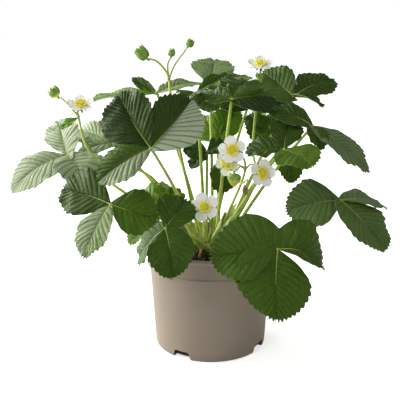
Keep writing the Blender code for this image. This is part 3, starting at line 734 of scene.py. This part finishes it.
FLOWER_STALKS = {
    "left": ([(-60, 8, 172), (-113, -15, 197), (-127, -15, 237), (-125, -15, 244)],
             [[(-127, -15, 237), (-137, -15, 249), (-143, -15, 255)]]),
    "tall": ([(-32, 25, 197), (-39, 20, 239), (-42, 20, 269), (-45, 20, 277), (-53, 20, 286), (-61, 20, 289)],
             [[(-42, 20, 269), (-43, 20, 283), (-40, 20, 290)],
              [(-42, 20, 269), (-36, 20, 283), (-24, 20, 299)]]),
    "middle": ([(21, -8, 148), (29, -15, 170), (33, -22, 187), (31, -26, 199), (24, -33, 205)],
               [[(33, -22, 187), (26, -22, 192), (20, -22, 193)],
                [(33, -22, 187), (39, -25, 193), (45, -33, 188)],
                [(33, -22, 187), (29, -34, 193), (24, -39, 190)],
                [(29, -15, 170), (35, -26, 178), (34, -30, 174)]]),
    "front": ([(1, -14, 127), (-5, -38, 148), (-6, -42, 155)], []),
    "top": ([(44, 8, 165), (43, 30, 198), (47, 43, 244), (50, 45, 263), (50, 45, 278)], []),
}


def crown_seats():
    """The upright stalks leave the middle of the crown, and the far-reaching ones its outside."""
    ends = {f"petiole_{name}": leaf.junction for name, leaf in LEAVES.items()}
    ends.update({f"flower_stalk_{name}": main[0] for name, (main, _) in FLOWER_STALKS.items()})
    waiting = sorted(ends, key=lambda name: math.hypot(*ends[name][:2]))
    seats = {}
    for count, radius in CROWN_RINGS:
        bearings = {name: math.atan2(ends[name][1], ends[name][0]) for name in waiting[:count]}
        order = sorted(bearings, key=bearings.get)
        step = 2 * math.pi / count
        start = sum(bearings[name] - step * i for i, name in enumerate(order)) / count
        for i, name in enumerate(order):
            seats[name] = np.array(around(radius, start + step * i, CROWN_TOP + GAP))
        waiting = waiting[count:]
    return seats


SEATS = crown_seats()


# %% Leaf stalks
def petiole_path(name):
    junction = np.array(LEAVES[name].junction, float)
    seat = SEATS[f"petiole_{name}"]
    span = junction - seat
    bow = PETIOLE_BOWS.get(name, PETIOLE_BOW)
    knee = seat + span * 0.45 + np.array([0, 0, bow * np.linalg.norm(span)])
    t = np.linspace(0, 1, 30)[:, None]
    return seat * (1 - t) ** 2 + knee * 2 * t * (1 - t) + junction * t ** 2


for name in LEAVES:
    shape = Shape()
    path = petiole_path(name)
    t = np.linspace(0, 1, len(path))
    radii = 1.95 - 0.60 * t + 0.7 * np.exp(-t / 0.06)
    shape.tube(path, radii, 12)
    shape.make(f"leaf_stalk_{name}", [STALK], f"petiole_{name}", "stalk_green")
print("leaf stalks:", len(LEAVES))


# %% Flower stalks
def smooth_path(points):
    """A smooth curve through all the points."""
    points = np.asarray(points, float)
    padded = np.concatenate([[2 * points[0] - points[1]], points, [2 * points[-1] - points[-2]]])
    t = np.linspace(0, 1, 8, endpoint=False)[:, None]
    runs = []
    for a, b, c, d in zip(padded, padded[1:], padded[2:], padded[3:]):
        runs.append(0.5 * (2 * b + (c - a) * t + (2 * a - 5 * b + 4 * c - d) * t ** 2
                           + (3 * b - a - 3 * c + d) * t ** 3))
    return np.concatenate([*runs, points[-1:]])


for name, (main, branches) in FLOWER_STALKS.items():
    shape = Shape()
    path = smooth_path([SEATS[f"flower_stalk_{name}"], *main])
    shape.tube(path, np.linspace(1.55, 0.95, len(path)), 12)
    for branch in branches:
        path = smooth_path(branch)
        shape.tube(path, np.linspace(0.95, 0.75, len(path)), 10)
        # The swollen joint where a branch leaves
        shape.lump(branch[0], (1.6, 1.6, 1.7), 0, level=2)
    shape.make(f"stem_of_flowers_{name}", [STALK], f"flower_stalk_{name}", "stalk_green")
print("flower stalks:", len(FLOWER_STALKS))

# %% [markdown]
# ## Flowers
# A strawberry flower has five round white petals, slightly cupped and crinkled, on a green cup of ten
# pointed sepals. In the middle a dome of tiny pistils is ringed by about 25 stamens. The stamens' yellow
# heads are what the eye reads from a distance, so each one is modelled, and the pistils are small beads
# set in a sunflower spiral.

# %% The flowers, buds and bracts
Flower = namedtuple("Flower", "centre facing radius")
Bud = namedtuple("Bud", "centre facing length radius")
FLOWERS = {
    "front": Flower((-6, -46, 156), (0.01, -0.94, 0.35), 13.5),
    "middle_upper": Flower((20, -39, 209), (0.01, -0.92, 0.40), 13.0),
    "middle_lower": Flower((16, -26, 194), (-0.30, -0.95, -0.04), 12.0),
    "middle_right": Flower((48, -39, 187), (0.36, -0.87, 0.34), 13.0),
    "left": Flower((-124, -16, 248), (0.05, -0.50, 0.86), 12.5),
    "top": Flower((50, 44, 282), (0.0, -0.45, 0.89), 13.0),
}
BUDS = {
    "bud_far_left": Bud((-149, -15, 260), (-0.6, 0.0, 0.8), 13, 6),
    "bud_tall_left": Bud((-68, 20, 294), (-0.7, 0.0, 0.7), 16, 6.5),
    "bud_tall_middle": Bud((-39, 20, 295), (0.2, 0.0, 1.0), 9, 4),
    "bud_tall_right": Bud((-21, 20, 304), (0.5, 0.0, 0.8), 9, 4.5),
    "fruit_young": Bud((22, -41, 181), (0.0, -0.4, -0.9), 14, 6.5),
    "flower_wilted": Bud((33, -31, 168), (0.1, -0.1, -1.0), 10, 4.5),
}
BRACTS = {
    "left": ((-127, -15.3, 236), Leaflet(-165, -30, -30, 21, 11, 12, 0.0)),
    "front": ((-5.4, -40, 151.5), Leaflet(-175, 12, -60, 24, 9, 12, 0.0)),
    "top": ((50, 45, 262), Leaflet(-120, 60, 0, 14, 7, 12, 0.0)),
}


def facing_matrix(centre, facing):
    """Places a shape drawn about Z so that +Z looks along facing."""
    turn = Vector(facing).normalized().to_track_quat("Z", "Y").to_matrix().to_4x4()
    return Matrix.Translation(centre) @ turn


def placed(points, matrix):
    """Moves points, or one point, by a matrix."""
    matrix = np.array(matrix)
    return np.asarray(points, float) @ matrix[:3, :3].T + matrix[:3, 3]


# %% Petals and sepals
def turned_grid(out, across, height, angle):
    """A grid that reaches out from Z in the direction of an angle."""
    x = out * math.cos(angle) - across * math.sin(angle)
    y = out * math.sin(angle) + across * math.cos(angle)
    return np.stack(np.broadcast_arrays(x, y, height), -1)


def round_petal(radius, angle, chance):
    """One petal as a grid, from its claw to its rounded tip."""
    u, t = unit_grid(15, 13)
    half = 0.385 * radius * np.sin(np.pi * (0.05 + 0.95 * u) ** 1.55).clip(0, 1) ** 0.62 + 0.2
    out = 2.2 + (radius - 2.2) * (u - 0.06 * u ** 2 * t ** 2)
    cup = 1.6 + chance.uniform(-0.5, 0.9)
    height = cup * u ** 2 + 0.9 * t ** 2 * u + 0.35 * np.sin(5 * t + chance.uniform(0, 6)) * u ** 2
    height = height - 0.5 * np.exp(-(t / 0.18) ** 2) * u * (1 - u) * 2
    return turned_grid(out, t * half, height + 0.3, angle + chance.uniform(-0.08, 0.08))


def pointed_sepal(length, width, angle, rise):
    """A narrow pointed leaf of the green cup, as a grid."""
    u, t = unit_grid(10, 7)
    half = width / 2 * (np.sin(np.pi * (0.25 + 0.75 * u)) ** 0.8).clip(0, 1) + 0.08
    height = length * u * math.sin(rise) - 0.1 * u ** 2 * length + 0.5 * np.abs(t) * half * 0.6
    return turned_grid(1.5 + length * u * math.cos(rise), t * half, height, angle)


# %% A whole flower, with its pistils and stamens
GOLDEN_ANGLE = 2.39996  # radians from one bead of a sunflower spiral to the next
PISTILS = 95
STAMENS = 25
DOME_RADIUS = 3.4
FLOWER_SEED = 40


def make_flower(name, flower, seed):
    chance = random.Random(seed)
    place = facing_matrix(flower.centre, flower.facing)
    petals, heart, cup = Shape(), Shape(), Shape()
    first = chance.uniform(0, 1.2)
    for i in range(5):
        angle = first + 2 * math.pi * i / 5
        grid = round_petal(flower.radius * chance.uniform(1.02, 1.10), angle, chance)
        grid[..., 2] += 0.35 * (i % 2)
        petals.sheet(placed(grid, place), 0.22)
        # A broad sepal between two petals, and a narrow one under each
        cup.sheet(placed(pointed_sepal(flower.radius * 0.72, 3.4, angle + 0.63, -0.12), place), 0.3)
        cup.sheet(placed(pointed_sepal(flower.radius * 0.55, 1.9, angle, -0.45), place), 0.3)
    cup.lump(placed((0, 0, -1.0), place), (2.6, 2.6, 1.6), 0, place, 2)
    # Pistils: beads over a dome
    for i in range(PISTILS):
        share = (i + 0.5) / PISTILS
        height = 0.6 + 2.3 * math.sqrt(max(0.0, 1 - share * 0.92))
        bead = placed(around(DOME_RADIUS * math.sqrt(share), i * GOLDEN_ANGLE, height), place)
        heart.lump(bead, (0.36, 0.36, 0.5), 0, place)
    heart.lump(placed((0, 0, 0.6), place), (DOME_RADIUS, DOME_RADIUS, 2.1), 0, place, 3)
    # Stamens: a short filament and a yellow head
    for i in range(STAMENS):
        angle = 2 * math.pi * i / STAMENS + chance.uniform(-0.08, 0.08)
        reach = chance.choice((4.1, 4.9, 5.6)) + chance.uniform(-0.2, 0.2)
        height = 1.7 + chance.uniform(0.0, 1.2)
        foot = around(2.9, angle, 0.4)
        head = around(reach, angle, height)
        bend = (0.55 * foot[0] + 0.45 * head[0], 0.55 * foot[1] + 0.45 * head[1], height * 0.75)
        path = placed([foot, bend, head], place)
        heart.tube(path, 0.17, 5)
        heart.lump(path[-1], (0.85, 1.10, 0.72), 1, place @ Matrix.Rotation(angle, 4, "Z"), 2)
    node = f"flower_{name}"
    petals.make(f"petals_{name}", [PETAL], node, "petal_white", 50)
    heart.make(f"heart_{name}", [HEART, POLLEN], node, "petal_white", 70)
    cup.make(f"sepals_{name}", [SEPAL], node, "bud_green", 50)


for seed, (name, flower) in enumerate(FLOWERS.items(), FLOWER_SEED):
    make_flower(name, flower, seed)
print("flowers:", len(FLOWERS))

# %% [markdown]
# ## Buds, a young fruit and a spent flower
# A bud is a small egg wrapped in pointed sepals. The young fruit is a pale cone dotted with seeds under
# the same sepals, and the spent flower has dried to a brown tuft. Each is a core with sepals laid over
# it.


# %% Buds and fruit
ROWS, SIDES = 16, 24    # of an egg's grid
SEEDS = 110
BUD_SEED, BRACT_SEED = 70, 90
CORE_SHARES = {"fruit_young": 0.86, "flower_wilted": 0.55}      # of the whole radius, and 0.82 for the buds
BUD_MATERIALS = {"fruit_young": [YOUNG_FRUIT, SEPAL, ACHENE], "flower_wilted": [DRY, DRY],
                 "bud_tall_middle": [PETAL, SEPAL], "bud_far_left": [HEART, SEPAL]}


def egg(length, radius):
    """An egg about Z, its broad end at the bottom and slightly puckered, as points and faces."""
    points = []
    for i in range(ROWS + 1):
        v = i / ROWS
        reach = radius * math.sin(math.pi * v ** 0.75) ** 0.8 if 0 < i < ROWS else 0.05
        for k in range(SIDES):
            angle = 2 * math.pi * k / SIDES
            points.append(around(reach * (1 + 0.02 * math.sin(angle * 5 + v * 4)), angle, length * (v - 0.5)))
    return points, tube_faces(ROWS + 1, SIDES)


def wrapping_sepal(length, radius, angle, width, spread):
    """A sepal that starts under the core and hugs it, its tip standing off by spread."""
    u, t = unit_grid(12, 7)
    v = 0.10 + 0.86 * u
    reach = radius * 1.06 * np.sin(np.pi * v ** 0.75) ** 0.8 + 0.35 + spread * u ** 3
    turn = angle + t * width * (np.sin(np.pi * (0.30 + 0.70 * u)) ** 0.9).clip(0.02, 1)
    reach = reach - 0.1 * np.abs(t)
    height = length * (v - 0.5) + 0.6 * u
    grid = np.stack(np.broadcast_arrays(reach * np.cos(turn), reach * np.sin(turn), height), -1)
    return grid[:, ::-1]


def make_bud(name, bud, seed):
    chance = random.Random(seed)
    place = facing_matrix(bud.centre, bud.facing)
    shape = Shape()
    fruit = name == "fruit_young"
    opened = name in ("bud_far_left", "bud_tall_left", "fruit_young")
    core = bud.radius * CORE_SHARES.get(name, 0.82)
    points, faces = egg(bud.length * (0.95 if fruit else 0.9), core)
    shape.put(placed(points, place), faces, 0)
    for i in range(10):
        angle = 2 * math.pi * i / 10 + chance.uniform(-0.1, 0.1)
        large = i % 2 == 0
        spread = (chance.uniform(2.2, 4.2) if opened else chance.uniform(0.4, 2.2)) * bud.radius / 5
        share = 0.60 if fruit else 1.0 if large else 0.8
        length = bud.length * share * (0.8 if name == "bud_far_left" else 1.0)
        grid = wrapping_sepal(length, core, angle, 0.55 if large else 0.34, spread)
        if fruit:
            grid[..., 2] -= bud.length * 0.18
        shape.sheet(placed(grid, place), 0.25, 1, 1)
    if fruit:
        for i in range(SEEDS):
            v = 0.22 + 0.70 * (i + 0.5) / SEEDS
            reach = core * math.sin(math.pi * v ** 0.75) ** 0.8 * 1.02
            seat = placed(around(reach, i * GOLDEN_ANGLE, bud.length * 0.95 * (v - 0.5)), place)
            shape.lump(seat, (0.30, 0.30, 0.42), 2, place)
    # The pedicel runs on into the foot of the bud
    foot = placed([(0, 0, -bud.length * 0.62), (0, 0, -bud.length * 0.42)], place)
    shape.tube(foot, [0.8, 1.3], 8, 1)
    shape.make(f"closed_{name}", BUD_MATERIALS.get(name, [YOUNG_BUD, SEPAL]), name, "bud_green", 50)


for seed, (name, bud) in enumerate(BUDS.items(), BUD_SEED):
    make_bud(name, bud, seed)
# The small single leaves are nearly smooth, thin and young
for seed, (name, (base, leaf)) in enumerate(BRACTS.items(), BRACT_SEED):
    shape = Shape()
    add_leaflet(shape, base, leaf, seed, tone=0.6, quilt=0.15, tooth_size=0.25, thickness=0.3)
    shape.make(f"small_leaf_{name}", [LEAF_UPPER, LEAF_LOWER, STALK], f"flower_stalk_{name}", "leaf_green")
print("buds and fruit:", len(BUDS), "small leaves:", len(BRACTS))

# %% [markdown]
# ## Pot
# The pot is a thin shell, turned in one profile: foot, tapered wall, a ridge, the upright collar and a
# small rolled rim. The drain notches are cut from the foot, which a boolean does in one step.

# %% Pot shell
POT_HEIGHT = 108.4
BASE_RADIUS = 57.0
WALL_TOP_RADIUS = 62.2
COLLAR_RADIUS = 64.6
RIM_RADIUS = 65.2
COLLAR_BOTTOM = 87.4
POT_WALL = 1.6
POT_FLOOR = 2.0
POT_SIDES = 192
POT_PROFILE = [
    (0, 0), (BASE_RADIUS - 3.0, 0), (BASE_RADIUS - 1.2, 0.25), (BASE_RADIUS - 0.35, 0.9),
    (BASE_RADIUS, 2.0),
    (WALL_TOP_RADIUS - 0.1, COLLAR_BOTTOM - 1.6), (WALL_TOP_RADIUS + 0.2, COLLAR_BOTTOM - 0.6),
    (COLLAR_RADIUS + 0.1, COLLAR_BOTTOM - 0.2), (COLLAR_RADIUS + 0.5, COLLAR_BOTTOM + 0.3),
    (COLLAR_RADIUS + 0.5, COLLAR_BOTTOM + 1.2), (COLLAR_RADIUS + 0.1, COLLAR_BOTTOM + 1.8),
    (COLLAR_RADIUS, COLLAR_BOTTOM + 3.0), (COLLAR_RADIUS, POT_HEIGHT - 4.2),
    (COLLAR_RADIUS + 0.35, POT_HEIGHT - 3.8), (RIM_RADIUS, POT_HEIGHT - 3.2),
    (RIM_RADIUS, POT_HEIGHT - 1.0), (RIM_RADIUS - 0.4, POT_HEIGHT - 0.25),
    (RIM_RADIUS - 1.1, POT_HEIGHT), (COLLAR_RADIUS - 1.4, POT_HEIGHT - 0.1),
    (COLLAR_RADIUS - POT_WALL, POT_HEIGHT - 0.8), (COLLAR_RADIUS - POT_WALL - 0.4, COLLAR_BOTTOM + 1.5),
    (WALL_TOP_RADIUS - POT_WALL, COLLAR_BOTTOM - 2.0), (BASE_RADIUS - POT_WALL, POT_FLOOR + 1.0),
    (BASE_RADIUS - POT_WALL - 1.0, POT_FLOOR), (0, POT_FLOOR),
]
NOTCH_AZIMUTHS = (60, 150, 240, 330)
# Across the notch and up, from its foot to its rounded top
NOTCH_OUTLINE = [(-10.5, -1.0), (10.5, -1.0), (8.6, 6.6), (7.4, 8.1), (6.0, 8.5), (-6.0, 8.5), (-7.4, 8.1),
                 (-8.6, 6.6)]


def turned(bm, profile, sides):
    """Turns a profile of (radius, height) about Z. A radius of 0 is a point on the axis."""
    rings = []
    for radius, height in profile:
        count = sides if radius else 1
        angles = [2 * math.pi * i / sides for i in range(count)]
        rings.append([bm.verts.new(around(radius, a, height)) for a in angles])
    for low, high in zip(rings, rings[1:]):
        for i in range(sides):
            j = (i + 1) % sides
            corners = [low[i % len(low)], low[j % len(low)], high[j % len(high)], high[i % len(high)]]
            bm.faces.new(list(dict.fromkeys(corners)))


def millimetre_object(name, bm):
    bmesh.ops.recalc_face_normals(bm, faces=bm.faces)
    bmesh.ops.scale(bm, vec=(MM, MM, MM), verts=bm.verts)
    mesh = bpy.data.meshes.new(name)
    bm.to_mesh(mesh)
    bm.free()
    return new_object(name, mesh)


bm = bmesh.new()
turned(bm, POT_PROFILE, POT_SIDES)
pot = millimetre_object("moulded_pot", bm)

bm = bmesh.new()
for azimuth in NOTCH_AZIMUTHS:
    turn = Matrix.Rotation(math.radians(azimuth), 4, "Z")
    inner, outer = ([bm.verts.new(turn @ Vector((radius, y, z))) for y, z in NOTCH_OUTLINE]
                    for radius in (BASE_RADIUS - 9.0, BASE_RADIUS + 4.0))
    for i in range(len(inner)):
        n = (i + 1) % len(inner)
        bm.faces.new((inner[i], inner[n], outer[n], outer[i]))
    bm.faces.new(inner[::-1])
    bm.faces.new(outer)
cutter = millimetre_object("notch_cutter", bm)
cut = pot.modifiers.new("notches", "BOOLEAN")
cut.operation = "DIFFERENCE"
cut.solver = "EXACT"
cut.object = cutter
cut_mesh = bpy.data.meshes.new_from_object(pot.evaluated_get(bpy.context.evaluated_depsgraph_get()))
pot.modifiers.clear()
pot.data = cut_mesh
bpy.data.objects.remove(cutter, do_unlink=True)
pot.data.materials.clear()
pot.data.materials.append(POT_PLASTIC)
pot.data.shade_smooth()
pot.data.set_sharp_from_angle(angle=math.radians(35))
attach(pot, "root")
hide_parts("pot")
print("pot faces:", len(pot.data.polygons))

# %% [markdown]
# ## Potting mix
# Moist peat is almost black, and what the eye reads is its broken surface. The surface is a disc of rings
# raised by layered noise, closed underneath, with loose crumbs of peat and bark lying on it.

# %% Mix surface
MIX_RADIUS = 60.0
MIX_TOP = 95.3          # by the pot's wall, and 2.2 mm more in the middle
MIX_RINGS, MIX_SIDES = 56, 220
CRUMBS = 800
FULL_TURN = 6.283       # radians


def mix_height(x, y):
    reach = math.hypot(x, y)
    heap = MIX_TOP + 2.2 * max(0.0, 1 - reach / 50)
    rough = 2.0 * noise.noise(Vector((x, y, 0)) / 9) + 1.2 * noise.noise(Vector((x, y, 7)) / 3.5)
    return heap + rough + 0.6 * noise.noise(Vector((x, y, 3)) / 1.4)


shape = Shape()
points = [(0, 0, mix_height(0, 0))]
for i in range(1, MIX_RINGS + 1):
    for k in range(MIX_SIDES):
        x, y, _ = around((MIX_RADIUS - 0.7) * i / MIX_RINGS, 2 * math.pi * k / MIX_SIDES, 0)
        points.append((x, y, mix_height(x, y)))
# The side and the foot, just inside the pot's tapered wall
for height, reach in ((60.0, 58.4), (4.0, 54.2), (2.4, 53.0)):
    points += [around(reach, 2 * math.pi * k / MIX_SIDES, height) for k in range(MIX_SIDES)]
faces = [(0, 1 + k, 1 + (k + 1) % MIX_SIDES) for k in range(MIX_SIDES)]
for i in range(MIX_RINGS + 2):
    low, high = 1 + i * MIX_SIDES, 1 + (i + 1) * MIX_SIDES
    for k in range(MIX_SIDES):
        n = (k + 1) % MIX_SIDES
        faces.append((low + k, high + k, high + n, low + n))
faces.append(tuple(range(high, high + MIX_SIDES))[::-1])
shape.put(points, faces, 0)

# %% Crumbs
chance = random.Random(5)
for _ in range(CRUMBS):
    reach, angle = 58.0 * math.sqrt(chance.random()), chance.uniform(0, FULL_TURN)
    x, y, _ = around(reach, angle, 0)
    size = chance.uniform(0.5, 1.7)
    spin = Matrix.Rotation(chance.uniform(0, 3.1), 4, "Z")
    turn = spin @ Matrix.Rotation(chance.uniform(-0.6, 0.6), 4, "X")
    shape.lump((x, y, mix_height(x, y) + size * 0.2), (size * chance.uniform(0.8, 1.9), size, size * 0.7),
               chance.choice((0, 0, 1)), turn)
shape.make("peat_surface", [PEAT, BARK], "potting_mix", "potting_mix", 80)
print("mix points:", shape.count)

# %% [markdown]
# ## Crown and sheaths
# Each leaf stalk starts in a pale sheath with a pointed tongue, and the sheaths pack round the short
# brown crown. A sheath is a sheet bent round the foot of its stalk, so it's made as a grid that follows
# the stalk.

# %% Crown
KNOBS = 90
FIBRES = 60
shape = Shape()
for i in range(KNOBS):
    reach = (CROWN_RADIUS - 1.5) * math.sqrt((i + 0.5) / KNOBS)
    size = chance.uniform(2.0, 3.2)
    # The crown's top is a little lower at its edge
    shape.lump(around(reach, i * GOLDEN_ANGLE, 100.6 - 0.05 * reach), (size, size, 2.6), 0, level=2)
for _ in range(FIBRES):
    angle, reach = chance.uniform(0, FULL_TURN), chance.uniform(6, 16.5)
    foot = np.array(around(reach, angle, 101.0))
    tip = foot + (chance.uniform(-3, 3), chance.uniform(-3, 3), chance.uniform(2, 8))
    shape.tube([foot, (foot + tip) / 2 + (0.6, 0.4, 0), tip], [0.35, 0.28, 0.1], 5)
# A dry stub left by an old stalk
shape.tube([(-11, -19, 97), (-8, -17, 104), (-4, -15, 112)], [1.6, 1.5, 1.1], 10, 1)
shape.make("crown_and_fibres", [CROWN_BARK, DRY], "crown", "crown_tissue", 70)
print("knobs and fibres:", KNOBS, FIBRES)


# %% Sheaths
def sheath(path, tall, opening, girth):
    """A pointed sheet, wrapped round a stalk up to the length tall. girth makes it wider than usual."""
    steps = np.linalg.norm(np.diff(path, axis=0), axis=1)
    way = np.concatenate([[0], np.cumsum(steps)])
    u = np.linspace(0, 1, 16)
    centre = np.stack([np.interp(u * tall, way, path[:, k]) for k in range(3)], -1)
    along = np.gradient(centre, axis=0)
    along /= np.linalg.norm(along, axis=1, keepdims=True)
    side = np.cross(along, [math.cos(opening), math.sin(opening), 0.2])
    side /= np.linalg.norm(side, axis=1, keepdims=True)
    front = np.cross(side, along)
    turn = np.linspace(-1, 1, 13)[None, :] * (2.5 * (1 - u[:, None] ** 2.2) + 0.12)
    reach = (2.9 - 1.0 * u[:, None]) * girth
    return (centre[:, None] + reach[..., None] * (np.cos(turn)[..., None] * front[:, None]
                                                  + np.sin(turn)[..., None] * side[:, None]))


TALL_SHEATHS = {"right_inner": 44, "right_upper": 40, "centre": 34, "front_right": 20, "upper_right": 38}
SHEATH_SHEET = 0.3      # thickness, mm
shape = Shape()
chance = random.Random(11)
for name in LEAVES:
    path = petiole_path(name)
    seat = path[0]
    tall = TALL_SHEATHS.get(name, chance.uniform(17, 29))
    opening = math.atan2(seat[1], seat[0]) + chance.uniform(-0.5, 0.5)
    shape.sheet(sheath(path, tall, opening, 1.5 if tall > 30 else 1.0), SHEATH_SHEET)
# Two broad sheaths, one inside the other, in which the middle flower stalk stands
path = smooth_path([SEATS["flower_stalk_middle"], *FLOWER_STALKS["middle"][0]])
shape.sheet(sheath(path, 52, 0.3, 2.2), SHEATH_SHEET)
shape.sheet(sheath(path, 40, 2.6, 1.8), SHEATH_SHEET)
shape.make("stalk_sheaths", [SHEATH], "crown", "crown_tissue", 50)
print("sheaths:", len(LEAVES) + 2)
